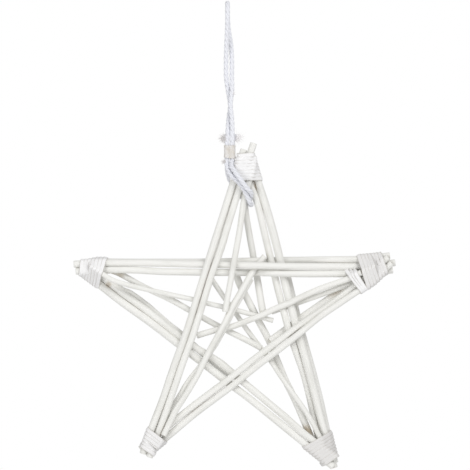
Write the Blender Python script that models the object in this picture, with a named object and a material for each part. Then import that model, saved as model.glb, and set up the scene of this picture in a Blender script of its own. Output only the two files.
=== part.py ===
"""A five-pointed star of white painted willow rods, bound at its points with flat cane,
hanging from a doubled cotton rope whose joint is held by a wrap of tape.

The frame: +X is right and +Z is up as the star hangs, and its front faces -Y.
The origin is the inner top of the rope's loop, where a nail or hook holds it.
"""

import math

import bpy
import numpy as np
from mathutils import Vector

for old in list(bpy.data.objects):
    bpy.data.objects.remove(old, do_unlink=True)

# Driving sizes, in metres and degrees
STAR_REACH = 0.166
STAR_DROP = 0.3135
STAR_SIDESTEP = 0.012
STOUT_ROD = 0.0076
THICK_ROD = 0.0066
THIN_ROD = 0.0056
FINE_ROD = 0.0046
ROD_GAP = 0.0003
STOUT_ROD_PRESS = 0.0002
CANE_WIDTH = 0.0034
CANE_THICKNESS = 0.0014
CANE_GROOVE = 0.0007
BINDING_CLEARANCE = 0.0003
WRAPPED_PAST_END = 0.0085
LEAST_TURNS = 3
ROPE_DIAMETER = 0.0048
TAPE_DROP = 0.1455
TAPE_HEIGHT = 0.0145
TAPE_THICKNESS = 0.0005
TAPE_CLEARANCE = 0.0006

# Rods that lie side by side, or cross one over the other, are one pitch apart: two usual
# rods keep the gap, and the stout rod presses a little against its neighbours.
# A rod's depth is counted in layers, and layer 0 is the front one.
PITCH = max(THICK_ROD + ROD_GAP, (THICK_ROD + STOUT_ROD) / 2 - STOUT_ROD_PRESS)
MIDDLE_LAYER = 1.3

# How finely the round pieces are made
CURVE_STEP = 0.020
ROPE_STEP = 0.0098
ROD_SIDES_RESOLUTION = 2
THIN_SIDES_RESOLUTION = 1
ROPE_SIDES_RESOLUTION = 2
WRAP_SIDES = 16
SHARP_EDGE = 50

# The five points of the hand-made star: the direction from its middle, and the share of the reach
TIPS = {
    "top": (87.3, 1.02),
    "left": (162.0, 1.015),
    "right": (20.6, 0.975),
    "lower_left": (-124.8, 0.975),
    "lower_right": (-57.2, 1.04),
}

WILLOW = ("painted_willow", (0.86, 0.85, 0.80), 0.55)
CANE = ("cane_binding", (0.88, 0.86, 0.82), 0.50)
COTTON = ("cotton_rope", (0.80, 0.82, 0.88), 0.90)
PAPER = ("rope_tape", (0.83, 0.80, 0.74), 0.70)


def material(finish):
    """The finish's own material, made on its first use."""
    name, colour, roughness = finish
    made = bpy.data.materials.get(name)
    if made is None:
        made = bpy.data.materials.new(name)
        made.use_nodes = True
        shader = made.node_tree.nodes["Principled BSDF"]
        shader.inputs["Base Color"].default_value = (*colour, 1)
        shader.inputs["Roughness"].default_value = roughness
        shader.inputs["Metallic"].default_value = 0
    return made


def in_plane(across, up):
    """A place in the star's plane, from shares of its reach measured from its middle."""
    return np.array([STAR_SIDESTEP + across * STAR_REACH, -STAR_DROP + up * STAR_REACH])


def tip(name):
    turn, share = TIPS[name]
    return in_plane(share * math.cos(math.radians(turn)), share * math.sin(math.radians(turn)))


def depth(layer):
    return (layer - MIDDLE_LAYER) * PITCH


def along_side(start, end, keys):
    """Points of a rod that runs from one tip to another, from keys of (share of the way, lane, layer)."""
    first = tip(start)
    way = tip(end) - first
    left = np.array([-way[1], way[0]]) / np.hypot(*way)
    points = []
    for share, lane, layer in keys:
        x, z = first + share * way + lane * PITCH * left
        points.append((x, depth(layer), z))
    return points


def across_star(keys):
    """Points of a filler rod, from keys of (hundredths of the reach across, the same up, layer)."""
    points = []
    for across, up, layer in keys:
        x, z = in_plane(across / 100, up / 100)
        points.append((x, depth(layer), z))
    return points


def smooth(points, step):
    """A gentle curve through each point that never swings past it, in steps of about this length."""
    points = np.array(points, float)
    length = np.concatenate([[0], np.cumsum(np.linalg.norm(np.diff(points, axis=0), axis=1))])
    gap = np.diff(length)
    slope = np.diff(points, axis=0) / gap[:, None]
    lean = np.zeros_like(points)
    lean[0], lean[-1] = slope[0], slope[-1]
    for i in range(1, len(points) - 1):
        before, after = slope[i - 1], slope[i]
        w1, w2 = 2 * gap[i] + gap[i - 1], gap[i] + 2 * gap[i - 1]
        same = before * after > 0
        lean[i][same] = (w1 + w2) / (w1 / before[same] + w2 / after[same])
    at = []
    for a, b in zip(length[:-1], length[1:]):
        at.extend(np.linspace(a, b, max(1, round((b - a) / step)), endpoint=False))
    at = np.array([*at, length[-1]])
    piece = np.clip(np.searchsorted(length, at, side="right") - 1, 0, len(gap) - 1)
    t = ((at - length[piece]) / gap[piece])[:, None]
    wide = gap[piece][:, None]
    return (
        (1 + 2 * t) * (1 - t) ** 2 * points[piece]
        + t * (1 - t) ** 2 * wide * lean[piece]
        + t**2 * (3 - 2 * t) * points[piece + 1]
        + t**2 * (t - 1) * wide * lean[piece + 1]
    )


def round_spline(points, step):
    """A rounded curve through every point, in steps of about this length, for the limp rope."""
    points = np.array(points, float)
    ends = np.vstack([2 * points[0] - points[1], points, 2 * points[-1] - points[-2]])
    line = []
    for a, b, c, d in zip(ends[:-3], ends[1:-2], ends[2:-1], ends[3:]):
        for t in np.linspace(0, 1, max(1, round(np.linalg.norm(c - b) / step)), endpoint=False):
            line.append(
                0.5
                * (2 * b + (c - a) * t + (2 * a - 5 * b + 4 * c - d) * t**2 + (3 * b - a - 3 * c + d) * t**3)
            )
    return np.array([*line, points[-1]])


def tube(name, line, diameter, resolution, finish):
    """A round rod or rope along a line, with flat ends."""
    curve = bpy.data.curves.new(name, "CURVE")
    curve.dimensions = "3D"
    curve.bevel_depth = diameter / 2
    curve.bevel_resolution = resolution
    curve.use_fill_caps = True
    curve.resolution_u = 1
    curve.render_resolution_u = 0
    spline = curve.splines.new("POLY")
    middle = Vector(line[len(line) // 2])
    spline.points.add(len(line) - 1)
    for point, place in zip(spline.points, line):
        point.co = (*(Vector(place) - middle), 1)
    spline.use_smooth = True
    made = bpy.data.objects.new(name, curve)
    made.location = middle
    made.data.materials.append(material(finish))
    bpy.context.scene.collection.objects.link(made)
    return made


# The rods of the five long sides. Each runs from one tip to another, and keys give the
# share of the way, the lane beside the side's axis and the layer it passes in.
SIDE_ROD_KEYS = {
    "crossbar_middle_rod": ("left", "right", THICK_ROD, [
        (-0.016, 0.42, 1.0), (0.077, 0.5, 1.0), (0.17, 0.49, 1.0), (0.26, 0.35, 1.0), (0.36, 0.16, 1.0),
        (0.42, 0.06, 1.0), (0.5, -0.1, 0.95), (0.555, -0.19, 0.4), (0.59, -0.25, 0.45),
        (0.64, -0.33, 0.6), (0.76, -0.47, 0.9), (0.884, -0.55, 1.0), (1.012, -0.1, 1.0),
    ]),
    "crossbar_lower_rod": ("left", "right", THICK_ROD, [
        (-0.01, -0.6, 1.0), (0.077, -0.52, 1.0), (0.17, -0.56, 1.0), (0.26, -0.85, 1.0),
        (0.36, -1.0, 1.0), (0.42, -1.08, 1.05), (0.5, -1.18, 1.4), (0.56, -1.23, 2.05),
        (0.61, -1.31, 1.2), (0.74, -1.52, 1.05), (0.86, -1.58, 1.0), (0.94, -1.42, 1.0),
        (1.004, -1.14, 1.0),
    ]),
    "crossbar_upper_rod": ("left", "right", THICK_ROD, [
        (0.058, 0.72, 2.0), (0.17, 0.57, 2.0), (0.28, 0.49, 2.0), (0.42, 0.42, 2.0), (0.53, 0.45, 2.15),
        (0.59, 0.45, 2.8), (0.61, 0.45, 3.5), (0.66, 0.47, 3.6), (0.72, 0.47, 2.6), (0.8, 0.48, 1.4),
        (0.89, 0.48, 1.05), (0.995, 0.92, 1.0),
    ]),
    "left_leg_outer_rod": ("top", "lower_left", THICK_ROD, [
        (0.004, -0.5, 0.0), (0.136, -0.44, 0.0), (0.25, -0.36, 0.0), (0.36, -0.3, 0.0),
        (0.5, -0.16, 0.0), (0.62, -0.08, 0.0), (0.7, -0.2, 0.0), (0.83, -0.26, 0.0), (0.91, -0.43, 0.0),
        (1.006, -0.5, 0.0),
    ]),
    "left_leg_inner_rod": ("top", "lower_left", THICK_ROD, [
        (-0.024, 0.55, 0.0), (0.128, 0.63, 0.0), (0.25, 0.76, 0.0), (0.32, 0.88, 0.0), (0.4, 0.76, 0.0),
        (0.5, 0.87, 0.0), (0.6, 0.95, 0.0), (0.7, 0.84, 0.0), (0.83, 0.79, 0.0), (0.905, 0.73, 0.0),
        (1.01, 0.55, 0.0),
    ]),
    "left_leg_back_rod": ("top", "lower_left", THICK_ROD, [
        (0.035, 0.08, 2.15), (0.2, 0.15, 2.4), (0.37, 0.25, 3.0), (0.5, 0.35, 3.2), (0.6, 0.42, 3.5),
        (0.66, 0.43, 3.5), (0.83, 0.3, 2.2), (1.0, 0.05, 2.0),
    ]),
    "right_leg_outer_rod": ("top", "lower_right", STOUT_ROD, [
        (0.014, 0.1, 1.1), (0.09, 0.2, 1.1), (0.17, 0.4, 1.1), (0.3, 0.45, 1.9), (0.372, 0.35, 2.4),
        (0.44, 0.18, 2.05), (0.5, 0.14, 1.65), (0.575, 0.1, 1.3), (0.66, 0.17, 1.45), (0.7, 0.15, 1.6),
        (0.8, 0.1, 1.9), (0.88, 0.0, 2.05), (1.012, 0.0, 2.05),
    ]),
    "right_leg_inner_rod": ("top", "lower_right", THICK_ROD, [
        (0.004, -1.02, 1.0), (0.09, -0.95, 1.0), (0.16, -0.66, 1.0), (0.27, -0.8, 1.7),
        (0.36, -0.92, 2.35), (0.44, -1.04, 1.95), (0.5, -1.06, 1.6), (0.57, -1.08, 1.25),
        (0.63, -0.92, 1.75), (0.7, -0.67, 2.3), (0.8, -0.73, 2.65), (0.88, -0.97, 2.5),
        (0.985, -1.1, 2.2),
    ]),
    "right_leg_back_rod": ("top", "lower_right", THICK_ROD, [
        (0.385, 0.85, 3.4), (0.48, 0.72, 3.55), (0.61, 0.68, 3.5), (0.7, 0.72, 3.2), (0.8, 0.66, 3.05),
        (0.88, 0.48, 3.1), (1.0, 0.35, 3.1),
    ]),
    "falling_lower_rod": ("left", "lower_right", THICK_ROD, [
        (0.01, -0.32, 2.0), (0.09, -0.24, 2.0), (0.17, -0.26, 2.0), (0.26, -0.06, 1.6),
        (0.38, 0.0, 1.2), (0.44, -0.02, 1.35), (0.49, -0.03, 1.75), (0.58, -0.05, 2.05),
        (0.66, 0.02, 2.05), (0.77, -0.04, 1.5), (0.89, -0.15, 1.0), (1.004, -0.25, 1.0),
    ]),
    "falling_upper_rod": ("left", "lower_right", THICK_ROD, [
        (0.014, 0.7, 2.0), (0.096, 0.86, 2.0), (0.17, 0.86, 2.0), (0.26, 0.98, 1.75), (0.36, 0.98, 1.4),
        (0.43, 1.06, 1.35), (0.49, 1.38, 1.75), (0.54, 1.52, 1.9), (0.6, 1.42, 2.05),
        (0.67, 1.31, 2.05), (0.77, 1.18, 1.5), (0.87, 0.95, 1.0), (0.995, 0.92, 1.0),
    ]),
    "rising_upper_rod": ("right", "lower_left", THICK_ROD, [
        (0.0, -0.88, 0.0), (0.09, -0.56, 0.0), (0.15, -0.54, 0.55), (0.21, -0.55, 0.8),
        (0.29, -0.72, 0.8), (0.37, -0.98, 0.25), (0.46, -1.05, 0.35), (0.53, -1.11, 0.7),
        (0.635, -1.07, 1.0), (0.78, -1.16, 1.0), (0.88, -1.13, 1.0), (1.01, -0.9, 1.0),
    ]),
    "rising_lower_rod": ("right", "lower_left", THICK_ROD, [
        (0.003, 0.12, 0.0), (0.09, 0.46, 0.0), (0.125, 0.38, -0.1), (0.16, 0.26, -0.1),
        (0.21, 0.1, 0.0), (0.29, -0.13, 0.0), (0.37, -0.06, -0.2), (0.4, -0.04, -0.1),
        (0.47, -0.03, 0.2), (0.54, -0.08, 0.7), (0.66, 0.0, 1.0), (0.8, -0.14, 1.0), (0.89, 0.0, 1.0),
        (1.004, 0.12, 1.0),
    ]),
}
RODS = {}
for rod_name, (start, end, diameter, keys) in SIDE_ROD_KEYS.items():
    RODS[rod_name] = (smooth(along_side(start, end, keys), CURVE_STEP), diameter, (start, end))
    tube(rod_name, RODS[rod_name][0], diameter, ROD_SIDES_RESOLUTION, WILLOW)

# The filler rods. Each is held at one tip and ends free in the star's middle, woven
# over and under the rods on its way.
FILLER_KEYS = {
    "top_front_filler": ("top", THIN_ROD, [
        (7.3, 88.6, 0.0), (3.0, 72.9, 0.0), (0.3, 54.8, 0.0), (-3.0, 36.1, -0.1), (-5.5, 22.3, -0.2),
        (-8.1, 8.4, -0.45), (-8.6, 4.7, -0.5),
    ]),
    "top_back_filler": ("top", THIN_ROD, [
        (0.3, 88.6, 1.0), (1.6, 80.0, 1.0), (2.8, 72.0, 1.0), (3.5, 67.0, 1.2), (4.5, 59.6, 1.8),
        (6.0, 50.6, 2.4), (7.7, 41.6, 3.0), (8.9, 34.3, 3.5), (10.9, 23.5, 3.3), (12.6, 12.7, 2.4),
        (14.0, 4.4, 2.0),
    ]),
    "lower_left_front_filler": ("lower_left", THIN_ROD, [
        (-45.6, -69.5, -0.6), (-43.4, -65.1, -0.4), (-38.3, -54.8, 0.0), (-33.0, -46.5, 0.0),
        (-25.8, -34.4, 0.0), (-18.8, -20.3, -0.1), (-13.3, -10.3, -0.1), (-8.7, -1.9, -0.1),
        (-4.5, 7.2, 0.25), (0.6, 16.1, 0.4), (4.8, 23.3, 0.55), (7.8, 28.3, 0.95), (10.6, 32.2, 1.5),
        (15.2, 37.8, 1.55),
    ]),
    "lower_left_back_filler": ("lower_left", FINE_ROD, [
        (-47.5, -69.0, 2.0), (-44.4, -63.0, 2.0), (-40.4, -53.6, 1.6), (-34.1, -42.8, 1.0),
        (-30.3, -36.7, 0.9), (-25.6, -30.7, 0.85), (-18.7, -21.7, 0.75), (-14.7, -15.7, 0.7),
        (-10.1, -7.8, 0.6), (-6.4, -0.6, 0.66), (-4.1, 4.2, 0.9), (-0.1, 11.4, 1.05), (4.9, 20.0, 1.25),
        (7.1, 24.0, 1.42),
    ]),
    "right_upper_filler": ("right", THIN_ROD, [
        (73.2, 28.2, -0.62), (65.4, 24.3, 0.1), (48.5, 18.3, 0.4), (36.4, 12.9, 0.6), (30.4, 9.9, 0.65),
        (21.4, 6.3, 0.8), (13.6, 2.5, 0.9), (6.3, -0.4, 1.0), (-2.7, -4.0, 1.3), (-8.0, -5.5, 1.42),
        (-13.6, -6.5, 1.4), (-25.6, -9.9, 1.2),
    ]),
    "right_lower_filler": ("right", FINE_ROD, [
        (73.5, 23.3, 1.2), (63.6, 20.0, 1.35), (48.5, 14.3, 1.45), (42.5, 12.2, 1.6), (36.4, 9.9, 2.3),
        (32.6, 8.4, 2.66), (28.0, 6.8, 2.66), (24.5, 5.7, 2.6), (19.5, 4.0, 2.4),
    ]),
    "right_back_filler": ("right", THICK_ROD, [
        (81.5, 31.0, 2.2), (66.6, 20.5, 2.35), (53.3, 11.7, 2.45), (37.0, 0.3, 2.5), (24.4, -9.0, 2.45),
        (18.5, -13.3, 2.3),
    ]),
    "left_lower_filler": ("left", THIN_ROD, [
        (-81.8, 30.4, 2.0), (-73.2, 27.7, 2.0), (-62.3, 21.7, 1.8), (-53.0, 17.0, 1.75),
        (-41.4, 11.6, 1.7), (-30.2, 5.3, 1.65), (-22.0, 0.7, 1.75), (-13.8, -3.9, 2.25),
        (-5.7, -8.0, 2.25), (6.0, -13.8, 2.1), (13.0, -17.6, 2.0),
    ]),
    "left_upper_filler": ("left", FINE_ROD, [
        (-82.5, 27.5, 0.0), (-76.2, 23.5, 0.1), (-66.8, 20.5, 0.3), (-57.5, 18.3, 0.5),
        (-43.8, 15.2, 0.7), (-27.7, 11.7, 1.0), (-19.8, 9.6, 1.05), (-9.6, 7.2, 1.3), (-1.8, 5.2, 1.75),
        (6.3, 3.0, 1.95), (13.6, 0.8, 2.0), (20.2, -1.0, 2.0),
    ]),
    "left_back_filler": ("left", THICK_ROD, [
        (-90.6, 30.7, 2.98), (-81.9, 24.5, 3.0), (-71.4, 17.4, 3.0), (-66.0, 15.0, 2.95),
        (-56.9, 8.5, 2.8), (-50.9, 3.4, 2.65), (-41.9, -4.3, 2.45), (-37.0, -8.1, 2.4),
        (-26.8, -17.0, 2.5), (-14.8, -27.0, 2.95), (-5.1, -34.4, 3.1),
    ]),
    "lower_right_left_filler": ("lower_right", FINE_ROD, [
        (49.0, -72.3, 1.0), (41.6, -58.4, 1.0), (32.6, -45.4, 1.1), (24.9, -34.6, 1.4),
        (18.6, -25.0, 2.1), (12.2, -16.9, 2.9), (2.9, -4.4, 3.0), (-3.3, 4.8, 2.8), (-9.6, 13.3, 2.3),
        (-15.4, 22.0, 1.7), (-17.5, 25.0, 1.55),
    ]),
    "lower_right_right_filler": ("lower_right", THICK_ROD, [
        (44.2, -74.0, 2.05), (40.7, -65.7, 2.05), (33.7, -49.4, 2.1), (27.8, -37.3, 2.45),
        (22.1, -23.5, 3.2), (17.6, -12.7, 3.3), (11.1, -0.6, 3.15), (6.3, 9.0, 3.05), (0.3, 20.5, 3.0),
        (-2.1, 27.1, 3.0),
    ]),
}
for rod_name, (start, diameter, keys) in FILLER_KEYS.items():
    RODS[rod_name] = (smooth(across_star(keys), CURVE_STEP), diameter, (start,))
    tube(rod_name, RODS[rod_name][0], diameter, THIN_SIDES_RESOLUTION, WILLOW)

# The rope, folded in half: from one frayed end down through the tape, round the top
# binding's left shoulder, up to the loop and back the same way. Millimetres, by hand.
ROPE_ROUTE = [
    (-3.2, 1.9, -129.8), (-1.0, 0.9, -134.5), (-0.4, 0.15, -138.5), (-0.3, 0.1, -146.0),
    (-0.4, 0.2, -153.2), (-0.4, 3.6, -160.0), (0.2, 9.8, -168.0), (3.8, 15.6, -177.4),
    (11.0, 18.2, -187.6), (18.2, 15.6, -195.0), (22.4, 8.0, -198.7), (23.8, 0.0, -199.2),
    (23.6, -5.2, -198.5), (22.4, -10.2, -196.9), (19.9, -14.0, -191.7), (15.4, -16.9, -182.8),
    (10.2, -17.3, -176.4), (4.0, -16.2, -170.6), (0.9, -12.5, -165.8), (-0.7, -8.0, -160.3),
    (-0.5, -5.2, -153.2), (-0.4, -5.2, -146.0), (-0.4, -5.0, -138.5), (0.0, -3.6, -130.5),
    (0.4, -1.0, -122.5), (1.2, 2.0, -112.5), (2.7, 2.8, -99.5), (0.4, 1.9, -84.5), (-1.3, 0.0, -71.5),
    (-1.4, -1.5, -54.5), (-0.9, -3.8, -39.5), (-0.3, -6.8, -26.5), (0.0, -9.8, -15.5),
    (0.0, -10.4, -7.0), (0.0, -7.4, -0.5), (0.0, 0.0, 2.4), (0.1, 7.4, -0.5), (0.1, 10.4, -7.0),
    (0.4, 9.8, -15.5), (1.5, 6.8, -26.5), (3.5, 3.8, -39.5), (4.4, 1.5, -54.5), (4.3, 0.0, -71.5),
    (4.5, -1.9, -84.5), (3.0, -2.7, -99.5), (4.3, -3.0, -112.5), (4.8, -3.8, -122.5),
    (4.9, -4.8, -130.5), (4.9, -5.2, -138.5), (4.9, -5.2, -146.0), (4.8, -5.2, -153.2),
    (4.0, -8.9, -158.0), (4.0, -13.8, -161.4), (6.7, -18.2, -165.9), (9.9, -21.0, -170.2),
    (13.4, -21.8, -174.9), (17.2, -21.4, -180.0), (20.7, -19.8, -184.3), (23.6, -15.2, -187.1),
    (23.6, -9.6, -190.5), (22.3, -3.6, -193.5), (22.2, 3.0, -194.1), (21.8, 9.5, -192.4),
    (19.2, 15.4, -188.0), (13.4, 18.4, -181.0), (8.0, 16.6, -171.2), (4.9, 10.6, -163.4),
    (4.8, 4.0, -158.6), (4.9, 0.2, -153.2), (4.9, 0.1, -146.0), (5.0, 0.15, -138.5), (5.6, 0.9, -134.5),
    (8.4, 1.6, -129.4),
]
ROPE_LINE = round_spline([Vector(p) / 1000 for p in ROPE_ROUTE], ROPE_STEP)
tube("hanging_rope", ROPE_LINE, ROPE_DIAMETER, ROPE_SIDES_RESOLUTION, COTTON)


def hull(circles, angles):
    """The corners of the many-sided figure that just holds some circles, given as (x, y, radius)."""
    corners = []
    reach = [max(x * math.cos(a) + y * math.sin(a) + r for x, y, r in circles) for a in angles]
    for i, a in enumerate(angles):
        b = angles[(i + 1) % len(angles)]
        ra, rb = reach[i], reach[(i + 1) % len(angles)]
        turn = math.sin(b - a)
        x = (ra * math.sin(b) - rb * math.sin(a)) / turn
        y = (rb * math.cos(a) - ra * math.cos(b)) / turn
        corners.append((x, y))
    return corners


def crossing(line, place, normal):
    """Where a rod's line passes through a plane, and the cosine of its slant there, or None.

    The line counts as a little longer than the rod, so that a wrap clears the rod's end.
    """
    before = line[0] + (line[0] - line[1]) / np.linalg.norm(line[0] - line[1]) * WRAPPED_PAST_END
    after = line[-1] + (line[-1] - line[-2]) / np.linalg.norm(line[-1] - line[-2]) * WRAPPED_PAST_END
    line = np.vstack([before, line, after])
    side = (line - place) @ normal
    for a, b, p, q in zip(side[:-1], side[1:], line[:-1], line[1:]):
        if a * b <= 0 and a != b:
            run = q - p
            return p + run * a / (a - b), abs(run @ normal) / np.linalg.norm(run)
    return None


def sleeve(name, rings, finish):
    """A closed tube from its outer rings, down, and back up its inner rings."""
    count = len(rings[0])
    points = [Vector(p) for ring in rings for p in ring]
    middle = sum(points, Vector()) / len(points)
    faces = []
    for i in range(len(rings)):
        j = (i + 1) % len(rings)
        for k in range(count):
            m = (k + 1) % count
            faces.append((i * count + k, i * count + m, j * count + m, j * count + k))
    mesh = bpy.data.meshes.new(name)
    mesh.from_pydata([p - middle for p in points], [], faces)
    mesh.update()
    volume = sum(
        mesh.vertices[p.vertices[0]].co.dot(
            mesh.vertices[p.vertices[i]].co.cross(mesh.vertices[p.vertices[i + 1]].co)
        )
        for p in mesh.polygons
        for i in (1, 2)
    )
    if volume < 0:
        mesh.flip_normals()
    mesh.shade_smooth()
    mesh.set_sharp_from_angle(angle=math.radians(SHARP_EDGE))
    made = bpy.data.objects.new(name, mesh)
    made.location = middle
    made.data.materials.append(material(finish))
    bpy.context.scene.collection.objects.link(made)
    return made


WRAP_ANGLES = [2 * math.pi * k / WRAP_SIDES for k in range(WRAP_SIDES)]


def binding_ring(tip_name, place, normal, extra):
    """The outline round a tip's rods where they pass a plane, plus an extra thickness."""
    side = np.array([normal[2], 0, -normal[0]])
    circles = []
    for line, diameter, tips in RODS.values():
        found = crossing(line, place, normal) if tip_name in tips else None
        if found is not None:
            offset = found[0] - place
            circles.append((offset @ side, offset[1], diameter / 2 / found[1] + BINDING_CLEARANCE + extra))
    return [place + x * side + y * np.array([0, 1, 0]) for x, y in hull(circles, WRAP_ANGLES)]


# The cane bindings: (outer end's middle, lean of its turns, inner end's middle, lean of its turns),
# in hundredths of the reach, and in degrees from the way the binding points.
BINDINGS = {
    "top": ((3.9, 99.4), 96, (4.7, 83.4), 92),
    "left": ((-95.8, 31.3), 177, (-81.6, 27.4), 158),
    "right": ((88.1, 31.6), 11, (73.4, 28.3), 20),
    "lower_left": ((-55.7, -79.8), -118, (-46.2, -67.4), -106),
    "lower_right": ((56.6, -86.7), -48, (47.0, -72.0), -62),
}


def binding(tip_name, outer, outer_lean, inner, inner_lean):
    """A wrap of flat cane round a tip's rods: a sleeve with one ridge for each turn."""
    start = np.insert(in_plane(outer[0] / 100, outer[1] / 100), 1, 0)
    end = np.insert(in_plane(inner[0] / 100, inner[1] / 100), 1, 0)
    turns = max(LEAST_TURNS, round(np.linalg.norm(end - start) / CANE_WIDTH))

    def ring(share, extra):
        lean = math.radians(outer_lean + share * (inner_lean - outer_lean))
        normal = np.array([math.cos(lean), 0, math.sin(lean)])
        return binding_ring(tip_name, start + share * (end - start), normal, extra)

    rings = [ring(i / turns, 0) for i in (0, turns / 3, 2 * turns / 3, turns)][::-1]
    for i in range(turns):
        if i == 0:
            rings.append(ring(0, CANE_THICKNESS - CANE_GROOVE))
        rings.append(ring((i + 0.5) / turns, CANE_THICKNESS))
        rings.append(ring((i + 1) / turns, CANE_THICKNESS - CANE_GROOVE))
    return sleeve(f"{tip_name}_cane_binding", rings, CANE)


for tip_name, places in BINDINGS.items():
    binding(tip_name, *places)


def tape():
    """A wrap of tape round the four passes of the rope, where its two ends are joined to it."""
    passes = []
    for a, b in zip(ROPE_LINE[:-1], ROPE_LINE[1:]):
        if min(a[2], b[2]) <= -TAPE_DROP < max(a[2], b[2]):
            share = (-TAPE_DROP - a[2]) / (b[2] - a[2])
            passes.append(a + share * (b - a))
    outline_reach = ROPE_DIAMETER / 2 + TAPE_CLEARANCE
    rings = []
    for up, extra in ((-0.5, 0), (0.5, 0), (0.5, TAPE_THICKNESS), (-0.5, TAPE_THICKNESS)):
        circles = [(p[0], p[1], outline_reach + extra) for p in passes]
        height = up * TAPE_HEIGHT - TAPE_DROP
        rings.append([(x, y, height) for x, y in hull(circles, WRAP_ANGLES)])
    return sleeve("rope_tape", rings, PAPER)


tape()
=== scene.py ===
import math

import bmesh
import bpy
import numpy as np
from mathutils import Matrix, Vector, kdtree


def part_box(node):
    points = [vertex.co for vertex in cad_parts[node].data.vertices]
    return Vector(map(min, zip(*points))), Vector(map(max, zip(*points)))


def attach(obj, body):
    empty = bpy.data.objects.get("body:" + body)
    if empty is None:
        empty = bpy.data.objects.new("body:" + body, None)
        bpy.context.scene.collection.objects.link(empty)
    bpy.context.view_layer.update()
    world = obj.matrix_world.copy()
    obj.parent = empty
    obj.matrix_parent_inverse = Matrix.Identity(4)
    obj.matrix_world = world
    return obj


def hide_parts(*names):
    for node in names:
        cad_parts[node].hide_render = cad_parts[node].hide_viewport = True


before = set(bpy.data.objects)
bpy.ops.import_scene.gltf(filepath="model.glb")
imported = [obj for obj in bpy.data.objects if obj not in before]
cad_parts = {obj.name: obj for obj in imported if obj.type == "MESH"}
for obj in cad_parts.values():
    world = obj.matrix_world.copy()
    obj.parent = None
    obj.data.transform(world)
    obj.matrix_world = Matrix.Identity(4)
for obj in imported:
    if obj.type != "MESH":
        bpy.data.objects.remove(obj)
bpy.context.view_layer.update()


# The view: the star hangs in front of a white backdrop and is seen square on. The photo's
# frame is 470 mm wide at the star, and its middle lies 229.5 mm under the nail.
FRAME_WIDTH = 0.470
FRAME_MIDDLE = Vector((0.0075, 0, -0.2295))
CAMERA_DISTANCE = 2.5
SENSOR = 36
camera_data = bpy.data.cameras.new("camera")
camera_data.sensor_width = SENSOR
camera_data.lens = SENSOR * CAMERA_DISTANCE / FRAME_WIDTH
camera = bpy.data.objects.new("camera", camera_data)
camera.location = FRAME_MIDDLE - Vector((0, CAMERA_DISTANCE, 0))
camera.rotation_euler = (math.radians(90), 0, 0)
bpy.context.scene.collection.objects.link(camera)
bpy.context.scene.camera = camera
bpy.context.scene.view_settings.view_transform = "Standard"


# Studio light: a wide soft lamp in front and to the upper right, a weaker one low on the left,
# and a white room all round, which shows as pure white behind the star.
LAMPS = {
    "key_light": ((1.1, -2.1, 1.5), 1.5, 32),
    "fill_light": ((-1.3, -2.1, -0.4), 0.9, 12),
}
ROOM_LIGHT = 0.54


class Amount:
    """A value in a node tree. Sums on it add their own Math nodes."""

    def __init__(self, recipe, socket):
        self.recipe = recipe
        self.socket = socket

    def also(self, name):
        """Another result of the same node."""
        return Amount(self.recipe, self.socket.node.outputs[name])

    def math(self, operation, *others):
        sockets = dict(enumerate((self, *others)))
        return self.recipe.add("ShaderNodeMath", {"operation": operation}, sockets)

    def __add__(self, other):
        return self.math("ADD", other)

    def __sub__(self, other):
        return self.math("SUBTRACT", other)

    def __rsub__(self, other):
        return self.recipe.add("ShaderNodeMath", {"operation": "SUBTRACT"}, {0: other, 1: self})

    def __mul__(self, other):
        return self.math("MULTIPLY", other)

    def __truediv__(self, other):
        return self.math("DIVIDE", other)

    __radd__ = __add__
    __rmul__ = __mul__


class Recipe:
    """A node tree that is written line by line, as sums."""

    def __init__(self, tree):
        self.tree = tree

    def add(self, kind, settings=None, sockets=None, out=0):
        """A node of one kind. Its settings are made first, then its sockets get values or links."""
        node = self.tree.nodes.new(kind)
        for name, value in (settings or {}).items():
            setattr(node, name, value)
        self.fill(node, sockets or {})
        return Amount(self, node.outputs[out])

    def fill(self, node, sockets):
        for name, value in sockets.items():
            if isinstance(value, Amount):
                self.tree.links.new(value.socket, node.inputs[name])
            else:
                node.inputs[name].default_value = value

    def between(self, share, first, second):
        """A colour that goes from the first to the second as the share goes from 0 to 1."""
        return self.add("ShaderNodeMix", {"data_type": "RGBA"}, {0: share, 6: first, 7: second}, 2)

    def ramp(self, value, low, high, to_low=0.0, to_high=1.0):
        """A value spread from its own low and high to others, and held there."""
        sockets = {0: value, 1: low, 2: high, 3: to_low, 4: to_high}
        return self.add("ShaderNodeMapRange", {"interpolation_type": "SMOOTHSTEP"}, sockets)

    def vector(self, operation, *sockets, out=0):
        return self.add("ShaderNodeVectorMath", {"operation": operation}, dict(enumerate(sockets)), out)

    def scaled(self, vector, amount):
        return self.add("ShaderNodeVectorMath", {"operation": "SCALE"}, {0: vector, "Scale": amount})

    def stretched(self, place, x, y, z):
        """A place with each of its directions scaled by its own number."""
        return self.vector("MULTIPLY", place, (x, y, z))

    def joined(self, x, y, z):
        """A vector from three values."""
        return self.add("ShaderNodeCombineXYZ", {}, {"X": x, "Y": y, "Z": z})

    def noise(self, place, scale, detail=2.0, roughness=0.5):
        sockets = {"Vector": place, "Scale": scale, "Detail": detail, "Roughness": roughness}
        return self.add("ShaderNodeTexNoise", {}, sockets)

    def mark(self, name, out="Fac"):
        """What a piece's mesh keeps under a name, for its material to read."""
        return self.add("ShaderNodeAttribute", {"attribute_name": name}, out=out)

    def place(self):
        """The place on the piece."""
        return self.add("ShaderNodeTexCoord", out="Object")

    def bump(self, height, strength, distance):
        return self.add("ShaderNodeBump", {}, {"Strength": strength, "Distance": distance, "Height": height})


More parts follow.
